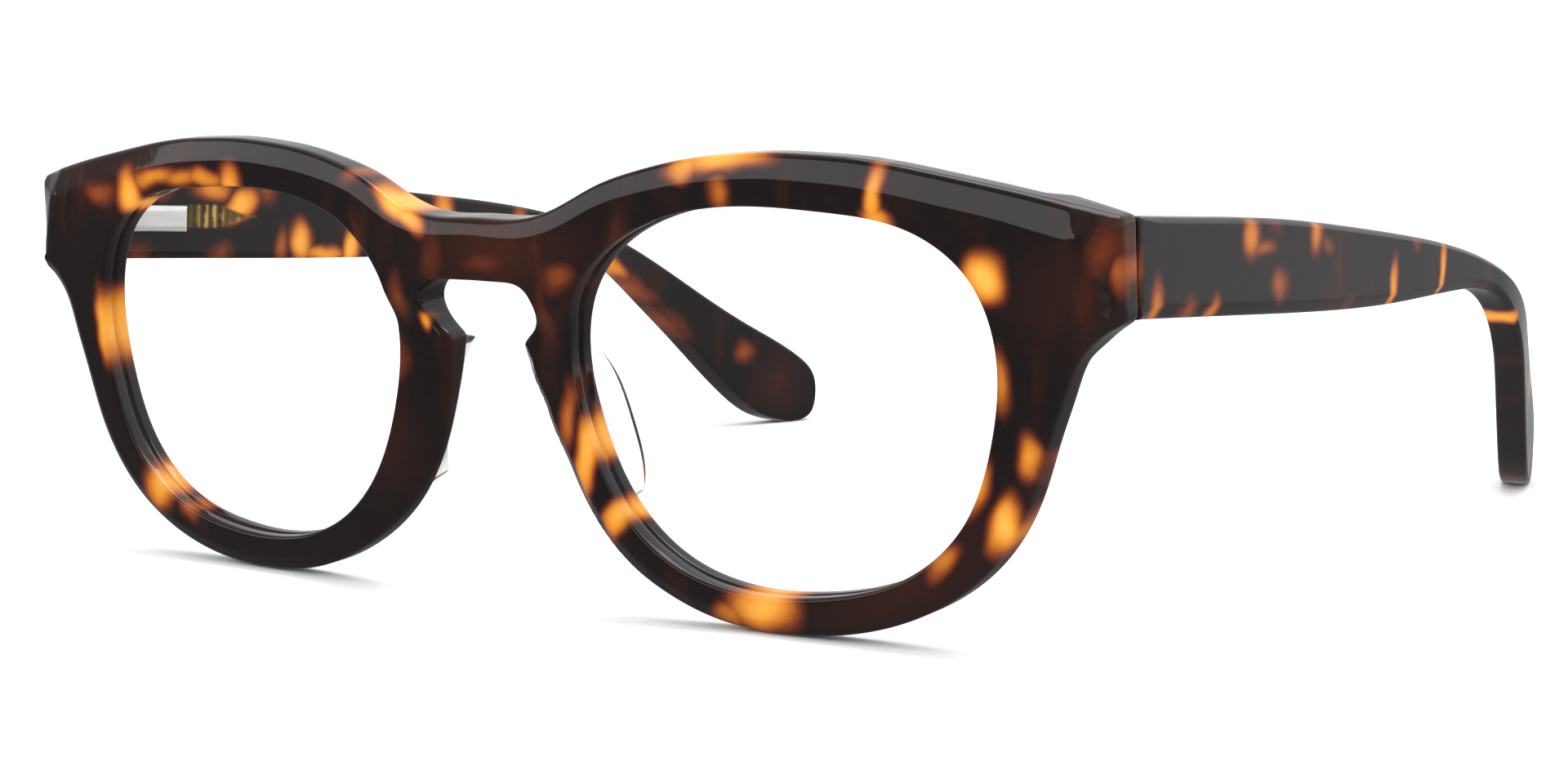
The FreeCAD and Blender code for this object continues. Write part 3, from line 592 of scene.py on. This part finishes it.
class Tree:
    """Short calls for adding shader nodes."""

    def __init__(self, name):
        self.material = bpy.data.materials.new(name)
        self.material.use_nodes = True
        self.tree = self.material.node_tree
        self.tree.nodes.clear()

    def add(self, kind, inputs=(), **settings):
        node = self.tree.nodes.new(kind)
        for key, value in settings.items():
            setattr(node, key, value)
        for key, value in dict(inputs).items():
            if isinstance(value, bpy.types.NodeSocket):
                self.tree.links.new(value, node.inputs[key])
            else:
                node.inputs[key].default_value = value
        return node

    def math(self, operation, *values):
        return self.add("ShaderNodeMath", dict(enumerate(values)), operation=operation).outputs[0]

    def ramp(self, value, stops):
        node = self.add("ShaderNodeValToRGB", {"Fac": value})
        ramp = node.color_ramp
        ramp.interpolation = "LINEAR"
        while len(ramp.elements) < len(stops):
            ramp.elements.new(0.5)
        for element, (place, color) in zip(ramp.elements, stops):
            element.position = place
            element.color = color if len(color) == 4 else (*color, 1)
        return node.outputs["Color"]

    def vector(self, operation, first, second=None, scale=None):
        inputs = {0: first}
        if second is not None:
            inputs[1] = second
        if scale is not None:
            inputs["Scale"] = scale
        node = self.add("ShaderNodeVectorMath", inputs, operation=operation)
        return node.outputs["Value" if operation == "DOT_PRODUCT" else "Vector"]

    def core_with_painted_shade(self, place, color):
        """The ribbed front end of the metal core, gold through the temple's inner face, with painted shade:
        the core is painted near-black as if lying in shadow, darker towards its front end, with lighter rib
        lines.
        """
        parts = self.add("ShaderNodeSeparateXYZ", {"Vector": place}).outputs
        along, rise, deep = parts["Y"], parts["Z"], parts["X"]
        narrow = self.add("ShaderNodeMapRange", {"Value": along, "From Min": 21.8, "From Max": 27.0,
                                                 "To Min": 1.6, "To Max": 0.25}).outputs[0]
        off = self.math("ABSOLUTE", self.math("SUBTRACT", rise, 0.3))
        band = self.math("MULTIPLY", self.math("SUBTRACT", narrow, off), 2.5)
        start = self.math("MULTIPLY", self.math("SUBTRACT", along, 14.9), 2.0)
        end = self.math("MULTIPLY", self.math("SUBTRACT", 28.5, along), 0.6)
        inner = self.math("MULTIPLY", self.math("SUBTRACT", 1.6, deep), 2.0)
        mask = self.math("MINIMUM", self.math("MINIMUM", band, start), self.math("MINIMUM", end, inner))
        mask = self.add("ShaderNodeClamp", {"Value": mask}).outputs[0]
        uneven = self.add("ShaderNodeTexNoise", {"Vector": place, "Scale": 0.8,
                                                 "Detail": 2.0}).outputs["Fac"]
        phase = self.math("MULTIPLY_ADD", uneven, 3.0, self.math("MULTIPLY", along, 4.5))
        fade = self.add("ShaderNodeMapRange", {"Value": along, "From Min": 21.0, "From Max": 24.0,
                                               "To Min": 0.4, "To Max": 0.05}).outputs[0]
        ribs = self.math("MULTIPLY", self.math("SINE", phase), fade)
        lit = self.math("MULTIPLY_ADD", uneven, 1.1, -0.1)
        # The core's brightness from rib lines and noise, dimmed towards its front end as painted shade.
        painted_shade = self.math("MULTIPLY", self.math("ADD", ribs, lit),
                          self.add("ShaderNodeMapRange", {"Value": along, "From Min": 16.5,
                                                          "From Max": 19.0, "To Min": 0.3}).outputs[0])
        # Ramp from near-black, the core painted as lying in shadow, to gold on the rib lines.
        gold = self.ramp(painted_shade, [(0.0, (0.02, 0.014, 0.006)), (0.5, (0.12, 0.07, 0.015)),
                                 (0.9, (0.42, 0.27, 0.08))])
        return self.add("ShaderNodeMix", {0: mask, 6: color, 7: gold}, data_type="RGBA").outputs[2]

    def end(self, shader):
        self.add("ShaderNodeOutputMaterial", {"Surface": shader})
        return self.material


# Colours of the acetate from its dark base to its clearest amber.
BLACK = (0.0075, 0.006, 0.006)
BROWN = (0.022, 0.0085, 0.0068)
RED = (0.085, 0.018, 0.009)
RUST = (0.24, 0.055, 0.012)
AMBER = (0.60, 0.20, 0.02)
YELLOW = (0.92, 0.42, 0.065)

# Amber patches, mm in the front's frame: x, z, half width, half height, strength, lean in degrees.
FRONT_PATCHES = [
    (-54.6, 12.6, 2.2, 2.6, 0.95, 15), (-50.0, 14.8, 4.6, 1.1, 0.7, 5), (-45.0, 14.8, 3.6, 1.1, 0.65, 0),
    (-36.8, 14.2, 1.8, 2.2, 0.8, 0), (-41.0, 14.9, 3.4, 1.0, 0.7, 0), (-60.0, 12.6, 3.0, 1.6, 0.45, 0),
    (-61.2, -3.4, 1.2, 4.2, 0.9, 5), (-57.5, -3.0, 1.2, 5.0, 0.4, 5), (-56.0, -11.4, 1.2, 2.8, 0.85, 10),
    (-53.0, -21.4, 2.6, 3.4, 0.85, -35), (-48.0, -23.8, 2.2, 1.4, 0.5, -40),
    (-11.0, 14.0, 4.0, 1.5, 1.05, -35), (-8.6, 12.0, 2.6, 1.0, 0.95, -38),
    (-16.0, 17.0, 3.0, 1.2, 0.5, 30),
    (-7.9, 0.8, 0.7, 1.0, 0.75, 0), (-10.5, 3.5, 1.2, 3.0, 0.35, 0), (-12.0, -3.5, 1.6, 2.4, 0.33, 0),
    (-5.0, 8.0, 2.0, 3.2, 0.27, 0), (1.8, 7.6, 3.4, 1.2, 0.31, 0), (11.4, 6.2, 2.1, 1.5, 0.4, 15),
    (31.0, 19.2, 5.4, 1.4, 1.0, 0), (27.2, 18.4, 2.6, 1.2, 0.8, 20), (31.5, 15.6, 1.4, 2.2, 0.55, 0),
    (49.0, 15.6, 1.0, 3.6, 0.85, 0), (49.2, 13.4, 1.6, 1.2, 0.8, 0),
    (60.3, 7.9, 1.8, 2.3, 1.05, 20), (58.4, 7.0, 1.9, 1.3, 0.85, 0), (62.0, -2.2, 0.9, 3.0, 0.62, 0),
    (64.4, -9.5, 1.1, 2.4, 0.75, 0), (61.6, -16.3, 1.4, 2.9, 1.0, -20),
    (59.0, -13.0, 1.1, 2.8, 0.75, -20),
    (54.9, -20.4, 2.6, 1.1, 0.62, 45), (34.6, -26.9, 3.8, 2.6, 0.95, 0), (30.5, -28.0, 2.4, 1.2, 0.6, 0),
    (13.4, -11.5, 1.4, 5.5, 0.95, -14), (11.0, -8.6, 1.0, 3.6, 0.55, -10),
    (17.4, -18.4, 1.4, 3.8, 0.9, -38),
    (68.0, 6.0, 6.0, 5.0, 0.13, 0), (72.2, 11.0, 1.6, 3.2, 0.34, 0), (73.4, 8.3, 0.5, 2.0, 0.5, 0),
    (4.0, 9.0, 11.0, 6.0, 0.19, 0), (52.0, -22.0, 14.0, 5.0, 0.17, 35),
    (-15.0, -12.0, 5.0, 7.0, 0.15, 0), (-52.0, 14.0, 12.0, 5.0, 0.16, 0)]
# The same in a temple's frame: y, z, then as above.
LEFT_TEMPLE_PATCHES = [
    (25.0, 3.3, 1.8, 2.4, 0.68, 0), (27.5, 1.8, 3.2, 0.9, 0.5, 0), (30.5, 4.3, 2.0, 1.4, 0.3, 0),
    (40.9, 3.4, 1.6, 2.2, 0.66, 0), (43.8, 2.4, 1.8, 1.0, 0.4, 0), (32.3, -1.8, 2.0, 1.7, 0.5, 0),
    (62.6, -2.4, 1.1, 3.2, 0.78, 0), (76.6, -0.8, 0.9, 3.8, 0.82, 0), (69.0, 2.2, 1.2, 1.2, 0.36, 0),
    (4.4, -3.6, 1.3, 2.6, 0.62, 0), (12.0, -4.3, 2.4, 1.6, 0.42, 0), (17.2, -4.3, 1.3, 1.4, 0.6, 0),
    (0.2, -1.0, 1.0, 3.4, 0.4, 0), (51.0, -4.0, 1.6, 1.2, 0.28, 0), (101.5, -7.2, 1.6, 1.4, 0.9, 0),
    (123.0, -15.5, 2.6, 3.0, 0.8, 20), (131.0, -26.0, 3.0, 3.0, 0.6, 0)]
RIGHT_TEMPLE_PATCHES = [
    (25.4, 1.6, 3.2, 1.7, 0.95, 30), (20.4, 3.5, 3.4, 1.3, 0.72, 0), (30.0, 3.6, 1.8, 2.2, 0.4, 0),
    (36.6, -2.8, 2.0, 2.6, 0.9, 25), (41.0, -4.2, 4.0, 1.1, 0.8, 0), (46.2, -3.6, 1.6, 2.8, 0.95, 0),
    (33.0, -3.4, 1.2, 2.6, 0.5, 0), (22.0, -4.4, 2.6, 1.4, 0.36, 0), (8.0, -4.2, 2.4, 1.8, 0.33, 0),
    (42.0, 3.4, 2.2, 1.4, 0.34, 0), (99.0, -6.0, 5.6, 1.5, 0.85, -28), (106.0, -10.0, 4.0, 1.6, 0.4, -28),
    (112.0, -15.0, 4.0, 2.0, 0.34, -30), (125.4, -19.0, 1.8, 1.6, 0.42, 0),
    (132.0, -24.0, 4.0, 5.0, 0.17, 0),
    (64.0, 1.0, 2.0, 3.6, 0.8, 10), (80.0, -1.0, 1.6, 3.4, 0.7, 0), (12.0, 3.6, 1.8, 1.6, 0.4, 0)]


def tortoise(name, local, patches, axes, mirrored=False, core=False):
    """Polished tortoiseshell acetate: a dark brown base with soft red-edged amber patches.

    local is the frame that the patches are stated in, and axes are the two of its axes used.
    """
    t = Tree(name)
    place = t.add("ShaderNodeTexCoord").outputs["Object"]
    if mirrored:
        place = t.vector("MULTIPLY", place, (-1, 1, 1))
    place = t.add("ShaderNodeMapping", {"Vector": place, "Location": local.translation * MM,
                                        "Rotation": local.to_euler(), "Scale": (MM, MM, MM)},
                  vector_type="TEXTURE").outputs[0]
    wobble = t.add("ShaderNodeTexNoise", {"Vector": place, "Scale": 0.2, "Detail": 1.0,
                                          "Roughness": 0.4}).outputs["Color"]
    shift = t.vector("SCALE", t.vector("SUBTRACT", wobble, (0.5, 0.5, 0.5)), scale=2.0)
    moved = t.vector("ADD", place, shift)
    streak_scale = [0.05, 0.05, 0.05]
    streak_scale["XYZ".index(axes[0])] = 0.17
    streak = t.vector("MULTIPLY", moved, streak_scale)
    streaks = t.add("ShaderNodeTexNoise", {"Vector": streak, "Scale": 1.0, "Detail": 3.0,
                                           "Roughness": 0.5, "Distortion": 0.5}).outputs["Fac"]
    total = t.math("MULTIPLY", t.math("SUBTRACT", streaks, 0.50), 0.9)
    parts = t.add("ShaderNodeSeparateXYZ", {"Vector": moved})
    flat = t.add("ShaderNodeCombineXYZ", {"X": parts.outputs[axes[0]], "Y": parts.outputs[axes[1]]})
    for x, z, wide, tall, strength, lean in patches:
        away = t.add("ShaderNodeMapping", {"Vector": flat.outputs[0], "Location": (x, z, 0),
                                           "Rotation": (0, 0, math.radians(lean)),
                                           "Scale": (1.7 * wide, 1.7 * tall, 1)},
                     vector_type="TEXTURE").outputs[0]
        square = t.vector("DOT_PRODUCT", away, away)
        bell = t.math("POWER", t.math("MAXIMUM", t.math("SUBTRACT", 1.0, square), 0.0), 1.6)
        patch = t.math("MULTIPLY", bell, strength)
        total = t.add("ShaderNodeMath", {0: total, 1: patch, 2: 0.06},
                      operation="SMOOTH_MAX").outputs[0]
    fine = t.add("ShaderNodeTexNoise", {"Vector": place, "Scale": 0.9, "Detail": 4.0,
                                        "Roughness": 0.6}).outputs["Fac"]
    total = t.math("ADD", total, t.math("MULTIPLY", t.math("SUBTRACT", fine, 0.5), 0.07))
    color = t.ramp(total, [(0.03, BLACK), (0.15, BROWN), (0.30, RED), (0.46, RUST), (0.70, AMBER),
                           (1.0, YELLOW)])
    if core:
        color = t.core_with_painted_shade(place, color)
    wear = t.add("ShaderNodeTexNoise", {"Vector": place, "Scale": 2.5, "Detail": 5.0}).outputs["Fac"]
    rough = t.add("ShaderNodeMapRange", {"Value": wear, "To Min": 0.04, "To Max": 0.13}).outputs[0]
    polish = t.add("ShaderNodeTexNoise", {"Vector": place, "Scale": 0.35, "Detail": 2.0}).outputs["Fac"]
    bump = t.add("ShaderNodeBump", {"Height": polish, "Strength": 0.05, "Distance": 0.0004}).outputs[0]
    return t.end(t.add("ShaderNodeBsdfPrincipled",
                       {"Base Color": color, "Roughness": rough, "IOR": 1.49,
                        "Normal": bump}).outputs[0])


def clear_acetate(name):
    """Polished clear acetate with a faint warm tint."""
    t = Tree(name)
    place = t.add("ShaderNodeTexCoord").outputs["Object"]
    flow = t.add("ShaderNodeTexNoise", {"Vector": place, "Scale": 300.0, "Detail": 3.0}).outputs["Fac"]
    tint = t.ramp(flow, [(0.3, (1.0, 0.97, 0.92)), (0.7, (1.0, 0.99, 0.97))])
    rough = t.add("ShaderNodeMapRange", {"Value": flow, "To Min": 0.02, "To Max": 0.07}).outputs[0]
    bump = t.add("ShaderNodeBump", {"Height": flow, "Strength": 0.04, "Distance": 0.0002}).outputs[0]
    return t.end(t.add("ShaderNodeBsdfPrincipled",
                       {"Base Color": tint, "Roughness": rough, "IOR": 1.48, "Normal": bump,
                        "Transmission Weight": 1.0}).outputs[0])


def metal(name, color, low, high, grain, metallic=1.0):
    """Plated or turned metal with fine tool marks."""
    t = Tree(name)
    place = t.add("ShaderNodeTexCoord").outputs["Object"]
    marks = t.add("ShaderNodeMapping", {"Vector": place, "Scale": grain}).outputs[0]
    noise = t.add("ShaderNodeTexNoise", {"Vector": marks, "Scale": 1.0, "Detail": 4.0}).outputs["Fac"]
    rough = t.add("ShaderNodeMapRange", {"Value": noise, "To Min": low, "To Max": high}).outputs[0]
    tint = t.ramp(noise, [(0.3, tuple(c * 0.85 for c in color)), (0.7, color)])
    bump = t.add("ShaderNodeBump", {"Height": noise, "Strength": 0.1, "Distance": 0.00005}).outputs[0]
    return t.end(t.add("ShaderNodeBsdfPrincipled", {"Base Color": tint, "Metallic": metallic,
                                                    "Roughness": rough, "Normal": bump}).outputs[0])


def dress(piece, material):
    piece.data.materials.clear()
    piece.data.materials.append(material)


# ------------------------------------------------------------------ assembly

front = build_front()
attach(front, "front")
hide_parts("front_frame")
temples = {}
pads = []
coils = []
for label, side in (("left", 1), ("right", -1)):
    temple = build_temple(side, label)
    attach(temple, "temple_" + label)
    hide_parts("temple_" + label)
    temples[label] = temple
    pad = build_pad(side, label)
    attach(pad, "front")
    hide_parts("nose_pad_" + label)
    pads.append(pad)
    coil = build_coil(side, label)
    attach(coil, "slider_" + label)
    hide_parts("coil_spring_" + label)
    ends = to_row(np.array([(0.0, COIL_START, 0.0), (0.0, COIL_END, 0.0)]), TEMPLE_TO_ROW, side)
    tuple(ends[1])
    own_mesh(coil)
    coils.append(coil)

dress(front, tortoise("front_acetate", FRONT_TO_ROW, FRONT_PATCHES, "XZ"))
for label, patches in (("left", LEFT_TEMPLE_PATCHES), ("right", RIGHT_TEMPLE_PATCHES)):
    dress(temples[label], tortoise("temple_acetate_" + label, TEMPLE_TO_ROW, patches, "YZ",
                                   mirrored=label == "right", core=True))
pad_acetate = clear_acetate("clear_acetate")
for pad in pads:
    dress(pad, pad_acetate)
METALS = {"front_hinge": metal("hinge_metal", (0.62, 0.6, 0.56), 0.2, 0.4, (3000, 3000, 600)),
          "spring_slider": metal("slider_metal", (0.6, 0.59, 0.57), 0.2, 0.4, (3000, 600, 3000)),
          "hinge_screw": metal("screw_steel", (0.55, 0.55, 0.56), 0.15, 0.35, (4000, 4000, 800)),
          "spring_retainer": metal("collar_steel", (0.5, 0.5, 0.52), 0.2, 0.4, (3000, 3000, 3000)),
          "coil_spring": metal("spring_steel", (0.45, 0.45, 0.47), 0.2, 0.35, (5000, 5000, 5000)),
          "spring_housing": metal("housing_metal", (0.88, 0.87, 0.86), 0.14, 0.3, (800, 200, 2500), 0.6),
          "housing_plug": metal("plug_metal", (0.6, 0.6, 0.61), 0.2, 0.35, (2000, 2000, 2000)),
          "temple_core": metal("core_metal", (0.75, 0.52, 0.22), 0.25, 0.4, (1500, 300, 1500))}
for coil in coils:
    dress(coil, METALS["coil_spring"])
for node, piece in frame["nodes"].items():
    kind = node.rsplit("_", 1)[0]
    if kind in METALS:
        dress(piece, METALS[kind])

# ------------------------------------------------------------------ stage, light, camera

floor_mesh = bpy.data.meshes.new("floor")
floor_mesh.from_pydata([(-4, -4, 0), (4, -4, 0), (4, 4, 0), (-4, 4, 0)], [], [(0, 1, 2, 3)])
floor = bpy.data.objects.new("floor", floor_mesh)
floor.location.z = -0.00005
bpy.context.scene.collection.objects.link(floor)
t = Tree("floor_paper")
ground = t.add("ShaderNodeTexCoord").outputs["Object"]
grain = t.add("ShaderNodeTexNoise", {"Vector": ground, "Scale": 40.0, "Detail": 3.0}).outputs["Fac"]
paper = t.ramp(grain, [(0.3, (0.93, 0.93, 0.93)), (0.7, (0.95, 0.95, 0.95))])
pale = t.add("ShaderNodeBsdfDiffuse", {"Color": paper}).outputs[0]
far = t.add("ShaderNodeMapRange", {"Value": t.add("ShaderNodeSeparateXYZ", {"Vector": ground}).outputs["Y"],
                                   "From Min": -0.12, "From Max": 0.25, "To Min": 0.10,
                                   "To Max": 0.48}).outputs[0]
seen = t.add("ShaderNodeEmission", {"Strength": far}).outputs[0]
rays = t.add("ShaderNodeLightPath").outputs
glossy = t.math("MAXIMUM", t.math("SUBTRACT", rays["Is Glossy Ray"], rays["Is Transmission Ray"]), 0.0)
dress(floor, t.end(t.add("ShaderNodeMixShader", {0: glossy, 1: pale, 2: seen}).outputs[0]))

world = bpy.data.worlds.new("studio")
bpy.context.scene.world = world
world.use_nodes = True
nodes, links = world.node_tree.nodes, world.node_tree.links
nodes.clear()
coords = nodes.new("ShaderNodeTexCoord")
toward = nodes.new("ShaderNodeVectorMath")
toward.operation = "DOT_PRODUCT"
toward.inputs[1].default_value = (0.25, 0.93, 0.25)
links.new(coords.outputs["Generated"], toward.inputs[0])
spread = nodes.new("ShaderNodeMapRange")
links.new(toward.outputs["Value"], spread.inputs["Value"])
spread.inputs["From Min"].default_value = -0.7
spread.inputs["From Max"].default_value = 0.7
spread.inputs["To Min"].default_value = 0.08
spread.inputs["To Max"].default_value = 0.85
light_path = nodes.new("ShaderNodeLightPath")
dark_room = nodes.new("ShaderNodeBackground")
links.new(spread.outputs[0], dark_room.inputs["Strength"])
white_room = nodes.new("ShaderNodeBackground")
white_room.inputs["Color"].default_value = (1, 1, 1, 1)
white_room.inputs["Strength"].default_value = 1.07
dark_room.inputs["Color"].default_value = (1, 1, 1, 1)
room = nodes.new("ShaderNodeMixShader")
mirrored_ray = nodes.new("ShaderNodeMath")
mirrored_ray.operation = "SUBTRACT"
mirrored_ray.use_clamp = True
links.new(light_path.outputs["Is Glossy Ray"], mirrored_ray.inputs[0])
links.new(light_path.outputs["Is Transmission Ray"], mirrored_ray.inputs[1])
links.new(mirrored_ray.outputs[0], room.inputs[0])
links.new(white_room.outputs[0], room.inputs[1])
links.new(dark_room.outputs[0], room.inputs[2])
output = nodes.new("ShaderNodeOutputWorld")
links.new(room.outputs[0], output.inputs["Surface"])


def softbox(name, place, target, size, power):
    light = bpy.data.lights.new(name, "AREA")
    light.shape = "RECTANGLE"
    light.size, light.size_y = size
    light.energy = power
    lamp = bpy.data.objects.new(name, light)
    lamp.location = place
    lamp.rotation_euler = (Vector(target) - Vector(place)).to_track_quat("-Z", "Y").to_euler()
    bpy.context.scene.collection.objects.link(lamp)


softbox("top_softbox", (0.1, 0.1, 0.9), (0, 0, 0), (0.9, 0.7), 6.0)
softbox("left_softbox", (-0.44, -0.86, 0.43), (0, -0.06, 0.03), (1.5, 0.36), 2.3)

AZIMUTH, ELEVATION, ROLL = math.radians(34.65), math.radians(7.01), math.radians(-0.31)
DISTANCE = 0.3187
AIM = FRONT_ORIGIN * MM + Vector((0.03924, 0, -0.00394))
back = Vector((math.sin(AZIMUTH) * math.cos(ELEVATION), -math.cos(AZIMUTH) * math.cos(ELEVATION),
               math.sin(ELEVATION)))
camera_data = bpy.data.cameras.new("camera")
camera_data.lens = 73.5
camera_data.sensor_width = 36.0
camera_data.clip_start = 0.01
camera = bpy.data.objects.new("camera", camera_data)
turn = back.to_track_quat("Z", "Y").to_matrix().to_4x4()
camera.matrix_world = Matrix.Translation(AIM + back * DISTANCE) @ turn @ Matrix.Rotation(ROLL, 4, "Z")
bpy.context.scene.collection.objects.link(camera)
bpy.context.scene.camera = camera
bpy.context.scene.view_settings.view_transform = "Standard"
